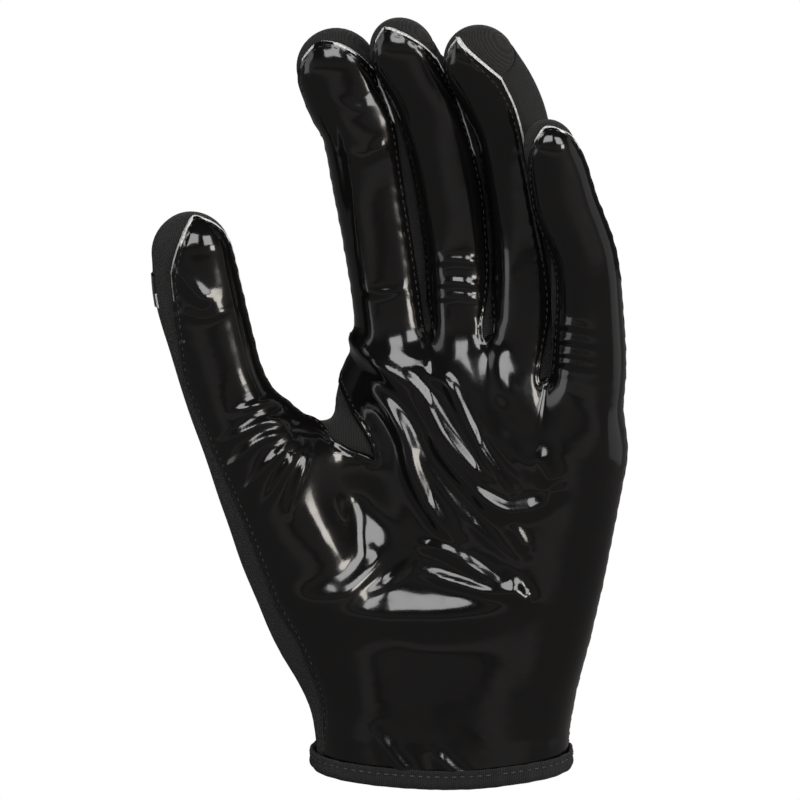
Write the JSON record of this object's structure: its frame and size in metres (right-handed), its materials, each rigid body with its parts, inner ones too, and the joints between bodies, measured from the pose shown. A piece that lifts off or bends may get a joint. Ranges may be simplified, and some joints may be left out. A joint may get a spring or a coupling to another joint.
{
  "type": "football receiver glove",
  "caption": "Left-hand football receiver glove with a glossy grip palm, knit back and finger sides and a bound slip-on cuff, shown as if worn.",
  "frame": {"origin": "middle of the wrist opening at the hem, where the wearer's wrist holds the glove up", "axes": "+Z from the wrist towards the finger tips, palm towards -Y, thumb towards -X"},
  "size_m": [0.1482, 0.0623, 0.2391],
  "materials": {
    "glossy_sheet": "very glossy black grip coating on a soft synthetic sheet with a pale core",
    "back_fabric": "matte black stretch knit",
    "side_fabric": "matte dark grey ribbed fabric",
    "binding_tape": "matte black ribbed binding tape"
  },
  "bodies": {
    "root": {"palm_panel": "glossy_sheet", "back_panel": "back_fabric", "thumb_back": "back_fabric", "side_strip_index_middle": "side_fabric", "side_strip_middle_ring": "side_fabric", "side_strip_ring_little": "side_fabric", "thumb_gusset": "side_fabric", "thumb_side_patch": "glossy_sheet", "cuff_binding": "binding_tape"}
  },
  "joints": []
}
